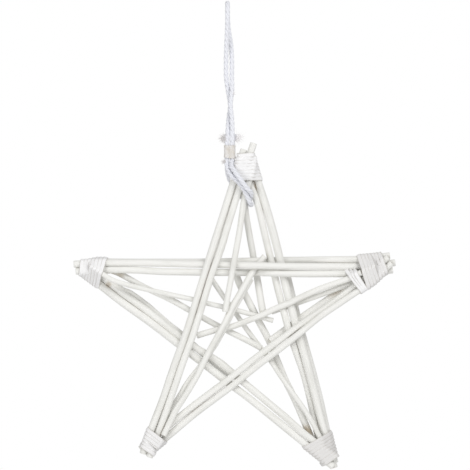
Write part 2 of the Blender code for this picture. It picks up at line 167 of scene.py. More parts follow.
for lamp_name, (lamp_place, lamp_size, watts) in LAMPS.items():
    lamp_data = bpy.data.lights.new(lamp_name, "AREA")
    lamp_data.size = lamp_size
    lamp_data.energy = watts
    lamp = bpy.data.objects.new(lamp_name, lamp_data)
    lamp.location = lamp_place
    lamp.rotation_euler = (FRAME_MIDDLE - Vector(lamp_place)).to_track_quat("-Z", "Y").to_euler()
    bpy.context.scene.collection.objects.link(lamp)
world = bpy.data.worlds.new("white_room")
bpy.context.scene.world = world
world.use_nodes = True
room = Recipe(world.node_tree)
seen = room.add("ShaderNodeLightPath")
room.fill(world.node_tree.nodes["Background"], {
    "Color": (1, 1, 1, 1),
    "Strength": ROOM_LIGHT + seen * (1 - ROOM_LIGHT),
})


# The studio floor: a pale painted one, well under the star.
FLOOR_DROP = 0.9
FLOOR_HALF = 4.4
FLOOR_GRAIN = 3.0
FLOOR_PAINT = (0.93, 0.93, 0.93, 1)
FLOOR_PALE = (0.96, 0.96, 0.96, 1)


def material(name):
    """A new material, and the recipe of its node tree."""
    made = bpy.data.materials.new(name)
    made.use_nodes = True
    return made, Recipe(made.node_tree)


def shaded(made, recipe, sockets):
    """Gives the material's shader its values."""
    recipe.fill(made.node_tree.nodes["Principled BSDF"], sockets)


floor_paint, recipe = material("floor_paint")
shaded(floor_paint, recipe, {
    "Base Color": recipe.between(recipe.noise(recipe.place(), FLOOR_GRAIN), FLOOR_PAINT, FLOOR_PALE),
    "Roughness": 0.8,
})
floor_mesh = bpy.data.meshes.new("studio_floor")
corners = [(x * FLOOR_HALF, y * FLOOR_HALF, -FLOOR_DROP) for x, y in ((-1, -1), (1, -1), (1, 1), (-1, 1))]
floor_mesh.from_pydata(corners, [], [(0, 1, 2, 3)])
floor_mesh.materials.append(floor_paint)
floor = bpy.data.objects.new("studio_floor", floor_mesh)
bpy.context.scene.collection.objects.link(floor)


# The hanging rope: soft white cotton, three strands laid up together and folded in half. It
# goes down through the tape, round the top binding and back up. Both ends are left frayed.
# Its route is in millimetres from the nail.
ROPE_ROUTE = [
    (-3.2, 1.9, -129.8), (-1.0, 0.9, -134.5), (-0.4, 0.15, -138.5), (-0.3, 0.1, -146.0),
    (-0.4, 0.2, -153.2), (-0.4, 3.6, -160.0), (0.2, 9.8, -168.0), (3.8, 15.6, -177.4),
    (11.0, 18.2, -187.6), (18.2, 15.6, -195.0), (22.4, 8.0, -198.7), (23.8, 0.0, -199.2),
    (23.6, -5.2, -198.5), (22.4, -10.2, -196.9), (19.9, -14.0, -191.7), (15.4, -16.9, -182.8),
    (10.2, -17.3, -176.4), (4.0, -16.2, -170.6), (0.9, -12.5, -165.8), (-0.7, -8.0, -160.3),
    (-0.5, -5.2, -153.2), (-0.4, -5.2, -146.0), (-0.4, -5.0, -138.5), (0.0, -3.6, -130.5),
    (0.4, -1.0, -122.5), (1.2, 2.0, -112.5), (2.7, 2.8, -99.5), (0.4, 1.9, -84.5), (-1.3, 0.0, -71.5),
    (-1.4, -1.5, -54.5), (-0.9, -3.8, -39.5), (-0.3, -6.8, -26.5), (0.0, -9.8, -15.5),
    (0.0, -10.4, -7.0), (0.0, -7.4, -0.5), (0.0, 0.0, 2.4), (0.1, 7.4, -0.5), (0.1, 10.4, -7.0),
    (0.4, 9.8, -15.5), (1.5, 6.8, -26.5), (3.5, 3.8, -39.5), (4.4, 1.5, -54.5), (4.3, 0.0, -71.5),
    (4.5, -1.9, -84.5), (3.0, -2.7, -99.5), (4.3, -3.0, -112.5), (4.8, -3.8, -122.5),
    (4.9, -4.8, -130.5), (4.9, -5.2, -138.5), (4.9, -5.2, -146.0), (4.8, -5.2, -153.2),
    (4.0, -8.9, -158.0), (4.0, -13.8, -161.4), (6.7, -18.2, -165.9), (9.9, -21.0, -170.2),
    (13.4, -21.8, -174.9), (17.2, -21.4, -180.0), (20.7, -19.8, -184.3), (23.6, -15.2, -187.1),
    (23.6, -9.6, -190.5), (22.3, -3.6, -193.5), (22.2, 3.0, -194.1), (21.8, 9.5, -192.4),
    (19.2, 15.4, -188.0), (13.4, 18.4, -181.0), (8.0, 16.6, -171.2), (4.9, 10.6, -163.4),
    (4.8, 4.0, -158.6), (4.9, 0.2, -153.2), (4.9, 0.1, -146.0), (5.0, 0.15, -138.5), (5.6, 0.9, -134.5),
    (8.4, 1.6, -129.4),
]
MILLIMETRE = 0.001
ROPE_DIAMETER = 0.0048
ROUTE_STEP = 0.002
STRANDS = 3
STRAND_RADIUS = 0.00136
LAY_RADIUS = ROPE_DIAMETER / 2 - STRAND_RADIUS
LAY_LENGTH = 0.017
# How much the lay loosens and tightens along the rope, as a share, and how quickly.
LAY_SWAY = 0.16
SWAY_GRAIN = 160.0
ROPE_RING_STEP = 0.0009
STRAND_SIDES = 20
# The yarns that show round one strand, how many times they turn in a metre, and their relief.
YARNS = 5
YARN_TURNS = 230
YARN_RELIEF = 0.00007
YARN_MIDDLE = 0.6
FLUFF_GRAIN = 900.0
# The distances from the rope's heart between which the painted shade of the grooves fades.
GROOVE_LOW = 0.33 * ROPE_DIAMETER
GROOVE_HIGH = 0.47 * ROPE_DIAMETER
COTTON_GRAIN = 2600.0
COTTON_PATCHES = 60.0
COTTON_WHITE = (0.84, 0.85, 0.90, 1)
COTTON_SHADE = (0.77, 0.775, 0.81, 1)
TURN = 2 * math.pi


def round_spline(points, step):
    """A rounded curve through every point, in steps of about this length."""
    points = np.array(points, float)
    ends = np.vstack([2 * points[0] - points[1], points, 2 * points[-1] - points[-2]])
    line = []
    for a, b, c, d in zip(ends[:-3], ends[1:-2], ends[2:-1], ends[3:]):
        for t in np.linspace(0, 1, max(1, round(np.linalg.norm(c - b) / step)), endpoint=False):
            line.append(
                0.5
                * (2 * b + (c - a) * t + (2 * a - 5 * b + 4 * c - d) * t**2 + (3 * b - a - 3 * c + d) * t**3)
            )
    return np.array([*line, points[-1]])


def path_piece(name, lines, outward=None, age=None):
    """An object of bare lines, for a shape tree to follow, with each point's facing and age."""
    points = np.vstack(lines)
    edges = []
    first = 0
    for line in lines:
        edges.extend((first + i, first + i + 1) for i in range(len(line) - 1))
        first += len(line)
    mesh = bpy.data.meshes.new(name)
    mesh.from_pydata(points.tolist(), edges, [])
    if outward is not None:
        facing = mesh.attributes.new("outward", "FLOAT_VECTOR", "POINT")
        facing.data.foreach_set("vector", np.asarray(outward, np.float32).ravel())
        mesh.attributes.new("age", "FLOAT", "POINT").data.foreach_set("value", np.asarray(age, np.float32))
    piece = bpy.data.objects.new(name, mesh)
    bpy.context.scene.collection.objects.link(piece)
    return piece


class Shape(Recipe):
    """A geometry tree with named sizes, which ends in real geometry with one material."""

    def __init__(self, name):
        super().__init__(bpy.data.node_groups.new(name, "GeometryNodeTree"))
        for way in ("INPUT", "OUTPUT"):
            self.tree.interface.new_socket("Geometry", in_out=way, socket_type="NodeSocketGeometry")
        self.given = self.tree.nodes.new("NodeGroupInput")
        self.path = Amount(self, self.given.outputs["Geometry"])

    def size(self, name, kind="Float"):
        """A named input of the tree."""
        self.tree.interface.new_socket(name, in_out="INPUT", socket_type="NodeSocket" + kind)
        return Amount(self, self.given.outputs[name])

    def keep(self, geometry, name, value, kind="FLOAT"):
        """Stores a value on each point under a name."""
        settings = {"data_type": kind, "domain": "POINT"}
        sockets = {"Geometry": geometry, "Name": name, "Value": value}
        return self.add("GeometryNodeStoreNamedAttribute", settings, sockets)

    def kept(self, name, kind="FLOAT"):
        return self.add("GeometryNodeInputNamedAttribute", {"data_type": kind}, {"Name": name})

    def curve(self):
        """The piece's own lines, as curves."""
        return self.add("GeometryNodeMeshToCurve", {}, {"Mesh": self.path})

    def in_rings(self, path):
        """A curve cut into even steps."""
        sockets = {"Curve": path, "Length": self.size("Ring step")}
        return self.add("GeometryNodeResampleCurve", {"mode": "LENGTH"}, sockets)

    def along(self, out="Length"):
        """How far along its curve a point lies, as a length or as a share."""
        return self.add("GeometryNodeSplineParameter", out=out)

    def circle(self):
        """A circle of radius 1, which remembers the share of the way round."""
        sockets = {"Resolution": self.size("Sides", "Int"), "Radius": 1.0}
        ring = self.add("GeometryNodeCurvePrimitiveCircle", {}, sockets)
        return self.keep(ring, "around", self.along("Factor"))

    def swept(self, path, section, scale, caps=True):
        """A section carried along a curve."""
        sockets = {"Curve": path, "Profile Curve": section, "Scale": scale, "Fill Caps": caps}
        return self.add("GeometryNodeCurveToMesh", {}, sockets)

    def moved(self, geometry, offset):
        return self.add("GeometryNodeSetPosition", {}, {"Geometry": geometry, "Offset": offset})

    def raised(self, geometry, height):
        """A surface pushed out along its own normal."""
        return self.moved(geometry, self.scaled(self.add("GeometryNodeInputNormal"), height))

    def close(self, geometry):
        """Ends the tree."""
        real = self.add("GeometryNodeRealizeInstances", {}, {0: geometry})
        sockets = {"Geometry": real, "Material": self.size("Material", "Material")}
        dressed = self.add("GeometryNodeSetMaterial", {}, sockets)
        self.fill(self.tree.nodes.new("NodeGroupOutput"), {"Geometry": dressed})

    def make(self, piece, coat, **sizes):
        """Runs the tree on a piece, and leaves the result as the piece's own plain mesh."""
        modifier = piece.modifiers.new("shape", "NODES")
        modifier.node_group = self.tree
        sizes["Material"] = coat
        for item in self.tree.interface.items_tree:
            name = item.name.replace(" ", "_")
            if item.in_out == "INPUT" and name in sizes:
                modifier[item.identifier] = sizes[name]
        shown = piece.evaluated_get(bpy.context.evaluated_depsgraph_get())
        mesh = bpy.data.meshes.new_from_object(shown)
        mesh.name = piece.name
        piece.modifiers.clear()
        piece.data = mesh
        mesh.shade_smooth()
        return piece


twist = Shape("twisted_rope")
lay = twist.size("Lay length")
path = twist.in_rings(twist.curve())
path = twist.keep(path, "heart", twist.add("GeometryNodeInputPosition"), "FLOAT_VECTOR")
path = twist.keep(path, "along", twist.along())
strand_count = twist.size("Strands", "Int")
strands = twist.add(
    "GeometryNodeDuplicateElements", {"domain": "SPLINE"}, {"Geometry": path, "Amount": strand_count}
)
strands = twist.keep(strands, "strand", strands.also("Duplicate Index"))
angle = TURN * (twist.kept("strand") / strand_count - twist.kept("along") / lay)
normal = twist.add("GeometryNodeInputNormal")
side = twist.vector("CROSS_PRODUCT", twist.add("GeometryNodeInputTangent"), normal)
heart = twist.kept("heart", "FLOAT_VECTOR")
sway = 1 + LAY_SWAY * (twist.noise(heart, SWAY_GRAIN) - 0.5)
lay_radius = twist.size("Lay radius") * sway
strands = twist.moved(strands, twist.vector(
    "ADD",
    twist.scaled(normal, angle.math("COSINE") * lay_radius),
    twist.scaled(side, angle.math("SINE") * lay_radius),
))
rope_mesh = twist.swept(strands, twist.circle(), twist.size("Strand radius"))
yarn_turn = TURN * (YARNS * twist.kept("around") + twist.kept("along") * YARN_TURNS)
fluff = twist.noise(twist.add("GeometryNodeInputPosition"), FLUFF_GRAIN) - 0.5
relief = twist.size("Yarn relief") * (yarn_turn.math("COSINE").math("ABSOLUTE") - YARN_MIDDLE + fluff)
rope_mesh = twist.raised(rope_mesh, relief)
from_heart = twist.vector("DISTANCE", twist.add("GeometryNodeInputPosition"), heart, out="Value")
rope_mesh = twist.keep(rope_mesh, "groove", twist.ramp(from_heart, GROOVE_LOW, GROOVE_HIGH, 1.0, 0.0))
skin = twist.joined(twist.kept("around"), twist.kept("strand"), twist.kept("along"))
twist.close(twist.keep(rope_mesh, "skin", skin, "FLOAT_VECTOR"))

cotton, recipe = material("cotton_rope")
place = recipe.place()
fibres = recipe.noise(recipe.stretched(place, 1.0, 1.0, 0.5), COTTON_GRAIN, 3.0)
# The grooves between strands get a painted shade; random patches add to it.
shade = recipe.mark("groove") * (0.45 + 0.5 * fibres) + 0.22 * recipe.noise(place, COTTON_PATCHES)
shaded(cotton, recipe, {
    "Base Color": recipe.between(shade, COTTON_WHITE, COTTON_SHADE),
    "Roughness": 0.92,
    "Specular IOR Level": 0.2,
    "Normal": recipe.bump(fibres, 0.5, 0.00025),
})

rope_line = round_spline(np.array(ROPE_ROUTE) * MILLIMETRE, ROUTE_STEP)
rope = twist.make(
    path_piece("twisted_rope", [rope_line]),
    cotton,
    Lay_length=LAY_LENGTH,
    Ring_step=ROPE_RING_STEP,
    Strands=STRANDS,
    Lay_radius=LAY_RADIUS,
    Sides=STRAND_SIDES,
    Strand_radius=STRAND_RADIUS,
    Yarn_relief=YARN_RELIEF,
)
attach(rope, "root")
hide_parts("hanging_rope")


# The frayed ends of the rope stand out over the tape, one to each side, and a smaller wisp
# sticks out under it. The cut cotton opens into loose grey-white fibres.
# Each wisp: where it starts and which way it goes, its length, how far its fibres spread from
# that way, how wide its root is, and how many fibres it has. Lengths are in millimetres.
WISPS = {
    "left_frayed_end": ((-1.6, -3.0, -135.0), (-0.70, -0.15, 0.55), 7.4, 0.24, 2.4, 400),
    "right_frayed_end": ((9.2, -1.0, -132.0), (1.0, -0.45, -0.05), 7.0, 0.80, 3.6, 130),
    "low_wisp": ((-1.4, -6.4, -156.4), (-1.0, -0.3, 0.02), 4.8, 0.25, 1.7, 170),
    "middle_wisp": ((5.6, -4.0, -88.0), (1.0, -0.2, 0.1), 3.2, 0.8, 0.7, 36),
}
SHORTEST_FIBRE = 0.35
LEAST_CURL, MOST_CURL = 0.05, 0.45
FIBRE_RADIUS = 0.00014
FIBRE_POINTS = 6
FIBRE_SIDES = 3
FIBRE_TAPER = 0.75
# The share of the light that a fibre stops, and a painted glow, standing in for light that
# shines through the fibres.
FIBRE_COVER = 0.8
FIBRE_GLOW = 0.17
FIBRE_LIGHT = (0.93, 0.92, 0.93, 1)
# The fibres are greyer on the left of the rope, and paler ones start on its right.
GREY_COTTON = (0.72, 0.70, 0.69, 1)
CREAM_COTTON = (0.86, 0.84, 0.84, 1)
PALEST_COTTON = (0.95, 0.93, 0.94, 1)
PALE_GRAIN = 300.0
GREY_TO = -0.004
PALE_FROM = 0.006
# The short hairs all along the rope.
HAIRS = 420
HAIR_LENGTH = 0.0022
HAIR_ROOT = 0.42 * ROPE_DIAMETER
HAIR_CURL = 0.9
HAIR_RADIUS = 0.3 * FIBRE_RADIUS
BARE_END_POINTS = 8
chance = np.random.default_rng(7)

bristle = Shape("loose_fibres")
taper = 1 - FIBRE_TAPER * bristle.along("Factor")
path = bristle.curve()
bristle.close(bristle.swept(path, bristle.circle(), bristle.size("Fibre radius") * taper))


def fibre(root, way, length, curl):
    """One loose fibre: a line that leaves its root one way and bends as it goes."""
    way = way / np.linalg.norm(way)
    bend = np.cross(way, chance.normal(size=3))
    share = np.linspace(0, 1, FIBRE_POINTS)[:, None]
    return root + length * (share * way + curl * share**2 * bend)


frayed, recipe = material("frayed_cotton")
place = recipe.place()
place_across = recipe.add("ShaderNodeSeparateXYZ", {}, {0: place})
pale = recipe.between(recipe.noise(place, PALE_GRAIN), CREAM_COTTON, PALEST_COTTON)
shaded(frayed, recipe, {
    "Base Color": recipe.between(recipe.ramp(place_across, GREY_TO, PALE_FROM), GREY_COTTON, pale),
    "Roughness": 0.95,
    "Alpha": FIBRE_COVER,
    # The fibres glow a little: painted light.
    "Emission Color": FIBRE_LIGHT,
    "Emission Strength": FIBRE_GLOW,
})
soft_pieces = []
for wisp_name, (root, way, length, spread, width, count) in WISPS.items():
    lines = []
    for _ in range(count):
        start = np.array(root) + chance.normal(size=3) * width * 0.5
        aim = np.array(way) + chance.normal(size=3) * spread
        reach = length * chance.uniform(SHORTEST_FIBRE, 1.0)
        curl = chance.uniform(LEAST_CURL, MOST_CURL)
        lines.append(fibre(start * MILLIMETRE, aim, reach * MILLIMETRE, curl))
    wisp = path_piece(wisp_name, lines)
    soft_pieces.append(bristle.make(wisp, frayed, Sides=FIBRE_SIDES, Fibre_radius=FIBRE_RADIUS))

lines = []
for root in rope_line[chance.integers(BARE_END_POINTS, len(rope_line) - BARE_END_POINTS, HAIRS)]:
    way = chance.normal(size=3)
    way /= np.linalg.norm(way)
    lines.append(fibre(root + way * HAIR_ROOT, way, HAIR_LENGTH * chance.uniform(0.3, 1), HAIR_CURL))
fuzz = path_piece("rope_fuzz", lines)
soft_pieces.append(bristle.make(fuzz, frayed, Sides=FIBRE_SIDES, Fibre_radius=HAIR_RADIUS))
for piece in soft_pieces:
    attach(piece, "root")


# The wrap of cream paper tape that holds the rope's joint: a turn and a half round its four
# passes, creased where it spans from one pass to the next.
TAPE_THICKNESS = 0.00016
TAPE_REST = 0.0001
TAPE_TURNS = 1.55
TAPE_COLUMNS = 150
TAPE_START = 40
TAPE_ROWS = 26
# How far the tape stays inside its box at the bottom and in all, and how much its edge slants.
TAPE_UP = 0.0006
TAPE_SHORT = 0.0024
TAPE_SLANT = 0.0012
SLANT_START = 0.6
# Each turn lies on the one below it, is creased, and curls outward at both edges.
FIRST_LIFT = 0.6
LIFT_A_TURN = 1.3
CREASES = 12
CREASE_HEIGHT = 0.00003
EDGE_CURL = 0.00035
CREPE_GRAIN = 1400.0
TAPE_PATCHES = 260.0
CREAM = (0.77, 0.75, 0.735, 1)
CREAM_STAIN = (0.66, 0.62, 0.56, 1)
BAND_ANGLES = 721
tape_low, tape_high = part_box("rope_tape")


def hull_point(circles, angle):
    """Where a band pulled tight round some circles, given as (x, y, radius), faces this way."""
    way = np.array([math.cos(angle), math.sin(angle)])
    x, y, radius = max(circles, key=lambda c: c[0] * way[0] + c[1] * way[1] + c[2])
    return np.array([x, y]) + radius * way


def tight_band(circles, count):
    """A band pulled tight round some circles: points at even steps, and the ways they face."""
    angles = np.linspace(0, TURN, BAND_ANGLES)
    points = np.array([hull_point(circles, a) for a in angles])
    run = np.concatenate([[0], np.cumsum(np.linalg.norm(np.diff(points, axis=0), axis=1))])
    at = np.linspace(0, run[-1], count, endpoint=False)
    facing = np.interp(at, run, angles)
    return np.stack([np.interp(at, run, points[:, i]) for i in (0, 1)], axis=1), facing


def crossings(line, place, normal):
    """Every place where a line passes a plane, with the cosine of its slant there."""
    side = (line - place) @ normal
    found = []
    for a, b, p, q in zip(side[:-1], side[1:], line[:-1], line[1:]):
        if a * b <= 0 and a != b:
            run = q - p
            found.append((p + run * a / (a - b), abs(run @ normal) / np.linalg.norm(run)))
    return found


tape_middle = np.array((tape_low + tape_high) / 2)
level = np.array([0, 0, 1.0])
passes = [p for p, _ in crossings(rope_line, tape_middle, level) if tape_low.x < p[0] < tape_high.x]
band, facing = tight_band([(p[0], p[1], ROPE_DIAMETER / 2 + TAPE_REST) for p in passes], TAPE_COLUMNS)
verts, faces = [], []
columns = round(TAPE_TURNS * TAPE_COLUMNS)
creases = chance.normal(size=(CREASES, 3))
for row in range(TAPE_ROWS):
    up = row / (TAPE_ROWS - 1)
    for column in range(columns):
        i = (column + TAPE_START) % TAPE_COLUMNS
        turn = column / TAPE_COLUMNS
        way = np.array([math.cos(facing[i]), math.sin(facing[i])])
        wrinkle = sum(
            math.sin(9 * a + (10 + 5 * b) * up + (6 + 2 * abs(c)) * TURN * turn) for a, b, c in creases
        )
        lift = TAPE_THICKNESS * (FIRST_LIFT + LIFT_A_TURN * turn)
        lift += CREASE_HEIGHT * wrinkle + EDGE_CURL * abs(2 * up - 1) ** 6
        x, y = band[i] + way * lift
        slope = TAPE_SLANT * math.sin(TURN * turn + SLANT_START)
        z = tape_low.z + TAPE_UP + (tape_high.z - tape_low.z - TAPE_SHORT) * up + slope * (1 - up)
        verts.append((x, y, z))
for row in range(TAPE_ROWS - 1):
    for column in range(columns - 1):
        a = row * columns + column
        faces.append((a, a + 1, a + columns + 1, a + columns))
tape_mesh = bpy.data.meshes.new("paper_tape")
tape_mesh.from_pydata(verts, [], faces)
tape_mesh.shade_smooth()
tape = bpy.data.objects.new("paper_tape", tape_mesh)
bpy.context.scene.collection.objects.link(tape)
wall = tape.modifiers.new("wall", "SOLIDIFY")
wall.thickness = TAPE_THICKNESS
wall.offset = 1

paper, recipe = material("cream_tape")
place = recipe.place()
patches = recipe.noise(recipe.stretched(place, 1.0, 1.0, 0.6), TAPE_PATCHES, 3.0)
crepe = recipe.noise(recipe.stretched(place, 1.0, 1.0, 3.0), CREPE_GRAIN)
shaded(paper, recipe, {
    "Base Color": recipe.between(recipe.ramp(patches, 0.35, 0.7), CREAM, CREAM_STAIN),
    "Roughness": 0.72,
    "Normal": recipe.bump(crepe, 0.4, 0.0002),
})
tape_mesh.materials.append(paper)
shown = tape.evaluated_get(bpy.context.evaluated_depsgraph_get())
tape_solid = bpy.data.meshes.new_from_object(shown)
tape.modifiers.clear()
tape.data = tape_solid
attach(tape, "root")
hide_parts("rope_tape")


# The willow rods: peeled shoots, a little uneven in girth, with faint leaf scars, dipped in
# thin matt white paint. Grime, bare wood and painted shade darken the hollows where they press
# on each other, and rods behind get golden-brown stains with painted shade.
ROD_RING_STEP = 0.0015
ROD_SIDES = 28
PAINT_THICKNESS = 0.0002
# No two rods have the same marks: each reads its own stretch of the pattern.
ROD_STRETCH = 3.0
GIRTH_SWAY = 0.035
GIRTH_GRAIN = 26.0
SKIN_RELIEF = 0.00016
SKIN_GRAIN = 210.0
SCAR_HEIGHT = 0.00028
SCAR_GRAIN = 105.0
STREAK_GRAIN = 900.0
CLOUD_GRAIN = 90.0
CREVICE_VARIATION_GRAIN = 140.0
WOOD_GRAIN = 1500.0
PAINT = (0.865, 0.86, 0.83, 1)
GREY_PAINT = (0.77, 0.765, 0.725, 1)
# Grime and painted shade in the hollows between rods.
GRIME_AND_SHADE_BROWN = (0.26, 0.205, 0.15, 1)
# Golden-brown stains with painted shade, on rods behind.
GOLDEN_STAIN_AND_SHADE = (0.44, 0.36, 0.25, 1)
CUT_WOOD = (0.80, 0.74, 0.60, 1)
PITH = (0.30, 0.22, 0.14, 1)
# How a rod's thickness changes from its left end to its right end, as shares of its CAD size.
TAPERS = {
    "rising_upper_rod": (1.02, 0.86),
    "rising_lower_rod": (1.02, 0.86),
    "top_back_filler": (0.96, 1.20),
    "falling_lower_rod": (1.17, 1.0),
    "falling_upper_rod": (1.05, 1.0),
}
EVEN_TAPER = (1.0, 1.0)
# The rings inside a cut end: size and rise as shares of the radius, cut wood or paint, and pith.
END_RINGS = ((0.90, 0.10, 0.0, 0), (0.80, 0.12, 1.0, 0), (0.30, 0.10, 1.0, 0.2))
PITH_RISE = 0.02
SAME_CORNER = 1e-5
CAP_TURN = 0.8
# Hollows darkened with grime and painted shade: each a stretch from one place to another (across
# and up, millimetres), and how dark it gets. Everywhere else they are faintly darkened.
GRIME_AND_SHADE_STRETCHES = [
    ((-123, -278), (-91, -303), 0.75),
    ((-60, -426), (-4, -382), 1.0),
    ((-4, -382), (6, -374), 0.6),
    ((10, -174), (-30, -304), 0.75),
    ((48, -259), (66, -325), 0.75),
    ((-71.5, -416), (-71, -420), 1.0),
    ((-61, -406), (-65, -425), 1.0),
    ((73, -420), (86, -432), 1.0),
]
FAINT_GRIME_AND_SHADE = 0.22
GRIME_AND_SHADE_REACH = 5.0
# Golden-brown stains with painted shade on the rods behind: the place (across and up), the depth
# from which they show, their reach, all in millimetres, and their strength.
STAINS_AND_SHADE = [
    ((79.5, -426.5), 1.5, 9.0, 0.85),
    ((15.0, -187.0), -4.0, 5.5, 0.9),
    ((26.0, -180.5), -4.0, 6.0, 0.9),
    ((-117.0, -268.5), -3.0, 7.0, 0.6),
    ((-108.0, -269.5), -3.0, 6.0, 0.5),
    ((-119.0, -279.0), 0.0, 4.0, 0.6),
    ((107.0, -284.0), 0.0, 12.0, 0.45),
]
STAIN_AND_SHADE_EDGE = 1.5
# A rod's hollows start to darken with grime and painted shade at one gap from a neighbour, and
# are darkest at the other.
PRESS_REACH = 0.0019
PRESS_FULL = 0.0004
PRESS_STEP = 0.0015
PRESS_NEIGHBOURS = 3


def in_order(corners):
    """Corners of a mesh in the order that it holds them."""
    return sorted(corners, key=lambda corner: corner.index)


def centre_line(node):
    """The middle of each ring of a CAD rod, from end to end, and the rod's radius."""
    shape = bmesh.new()
    shape.from_mesh(node.data)
    bmesh.ops.remove_doubles(shape, verts=shape.verts, dist=SAME_CORNER)
    shape.verts.index_update()
    places = np.array([v.co for v in shape.verts])
    axis = Vector(np.linalg.svd(places - places.mean(0), full_matrices=False)[2][0])
    if axis.x < 0:
        axis = -axis
    shape.normal_update()
    ring = {v for f in shape.faces if f.normal.dot(axis) < -CAP_TURN for v in f.verts}
    radius = None
    done = set(ring)
    line = []
    while ring:
        middle = np.mean([v.co for v in in_order(ring)], axis=0)
        if radius is None:
            radius = float(np.mean([np.linalg.norm(v.co - Vector(middle)) for v in in_order(ring)]))
        line.append(middle)
        ring = {e.other_vert(v) for v in ring for e in v.link_edges} - done
        done |= ring
    shape.free()
    return np.array(line), radius


grow = Shape("willow_rod")
radius = grow.size("Radius")
number = grow.size("Number")
path = grow.add("GeometryNodeCurveSplineType", {"spline_type": "CATMULL_ROM"}, {"Curve": grow.curve()})
path = grow.in_rings(path)
path = grow.keep(path, "along", grow.along() + number * ROD_STRETCH)
left_size, right_size = grow.size("Left size"), grow.size("Right size")
path = grow.keep(path, "taper", left_size + (right_size - left_size) * grow.along("Factor"))
spot = grow.joined(grow.kept("along"), number, 0.0)
girth = 1 + GIRTH_SWAY * 2 * (grow.noise(spot, GIRTH_GRAIN, 1.0) - 0.5)
rod_mesh = grow.swept(path, grow.circle(), radius * girth * grow.kept("taper"), caps=False)
turned = TURN * grow.kept("around")
skin = grow.joined(radius * turned.math("COSINE"), radius * turned.math("SINE"), grow.kept("along"))
rod_mesh = grow.keep(rod_mesh, "skin", skin, "FLOAT_VECTOR")
skin = grow.kept("skin", "FLOAT_VECTOR")
flats = grow.noise(grow.stretched(skin, 1.0, 1.0, 0.12), SKIN_GRAIN, 2.0) - 0.5
scar_place = grow.stretched(skin, 1.0, 1.0, 0.3)
scar = grow.add("ShaderNodeTexVoronoi", {}, {"Vector": scar_place, "Scale": SCAR_GRAIN})
grow.close(grow.raised(
    rod_mesh, SKIN_RELIEF * 2 * flats + SCAR_HEIGHT * grow.ramp(scar, 0.05, 0.26, 1.0, 0.0)
))

willow, recipe = material("painted_willow")
skin = recipe.mark("skin", "Vector")
streaks = recipe.noise(recipe.stretched(skin, 1.0, 1.0, 0.05), STREAK_GRAIN, 3.0)
clouds = recipe.noise(recipe.stretched(skin, 1.0, 1.0, 0.35), CLOUD_GRAIN, 2.0)
brushed = recipe.between(recipe.ramp(0.5 * streaks + 0.5 * clouds, 0.45, 0.68), PAINT, GREY_PAINT)
# The hollows between rods get grime and painted shade, varied along them.
crevice_variation = recipe.noise(recipe.stretched(skin, 1.0, 1.0, 0.3), CREVICE_VARIATION_GRAIN, 2.0)
crevice_darkening = recipe.mark("hollow_grime_and_shade") * recipe.ramp(crevice_variation, 0.25, 0.62, 0.35, 1.0)
# Rods behind get golden-brown stains with painted shade.
stained_and_shaded = recipe.between(recipe.mark("stain_and_shade"), brushed, GOLDEN_STAIN_AND_SHADE)
painted = recipe.between(crevice_darkening, stained_and_shaded, GRIME_AND_SHADE_BROWN)
cut_wood = recipe.between(recipe.noise(recipe.place(), WOOD_GRAIN, 2.0), CUT_WOOD, PAINT)
wood = recipe.between(recipe.mark("pith"), cut_wood, PITH)
shaded(willow, recipe, {
    "Base Color": recipe.between(recipe.mark("cut"), painted, wood),
    "Roughness": 0.5 + 0.25 * streaks,
    "Specular IOR Level": 0.35,
    "Normal": recipe.bump(streaks, 0.35, 0.0002),
})


def cut_ends(mesh, radius):
    """Closes a rod's two open ends: a paint-rounded rim, cut wood inside it and pith in the middle."""
    shape = bmesh.new()
    shape.from_mesh(mesh)
    cut = shape.verts.layers.float.new("cut")
    pith = shape.verts.layers.float.new("pith")
    waiting = in_order({v for e in shape.edges if e.is_boundary for v in e.verts})
    while waiting:
        ring = [waiting.pop(0)]
        while True:
            onward = [
                e.other_vert(ring[-1]) for e in ring[-1].link_edges
                if e.is_boundary and e.other_vert(ring[-1]) in waiting
            ]
            if not onward:
                break
            ring.append(onward[0])
            waiting.remove(onward[0])
        middle = sum((v.co for v in ring), Vector()) / len(ring)
        behind = [e.other_vert(v) for v in ring for e in v.link_edges if not e.is_boundary]
        out = (middle - sum((v.co for v in behind), Vector()) / len(behind)).normalized()
        before = ring
        for share, rise, is_cut, is_pith in END_RINGS:
            inner = []
            for v in ring:
                new = shape.verts.new(middle + (v.co - middle) * share + out * rise * radius)
                new[cut], new[pith] = is_cut, is_pith
                inner.append(new)
            for i, v in enumerate(inner):
                j = (i + 1) % len(inner)
                shape.faces.new((before[i], before[j], inner[j], v))
            before = inner
        centre = shape.verts.new(middle + out * PITH_RISE * radius)
        centre[cut], centre[pith] = 1, 1
        for i, v in enumerate(before):
            shape.faces.new((v, before[(i + 1) % len(before)], centre))
    bmesh.ops.recalc_face_normals(shape, faces=shape.faces)
    for face in shape.faces:
        face.smooth = True
    shape.to_mesh(mesh)
    shape.free()


def even_points(line, step):
    """Points at even steps along a line."""
    run = np.concatenate([[0], np.cumsum(np.linalg.norm(np.diff(line, axis=0), axis=1))])
    at = np.linspace(0, run[-1], max(2, round(run[-1] / step)))
    return np.stack([np.interp(at, run, line[:, i]) for i in range(3)], axis=1)


def grime_and_shade_at(place):
    """How much grime and painted shade a place's hollows get, from the faint share everywhere to 1."""
    most = FAINT_GRIME_AND_SHADE
    spot = np.array([place[0], place[2]]) / MILLIMETRE
    for first, second, darkness in GRIME_AND_SHADE_STRETCHES:
        first, second = np.array(first), np.array(second)
        way = second - first
        share = min(1, max(0, (spot - first) @ way / (way @ way)))
        away = np.linalg.norm(spot - first - share * way)
        most = max(most, darkness * min(1, max(0, 2 - away / GRIME_AND_SHADE_REACH)))
    return most


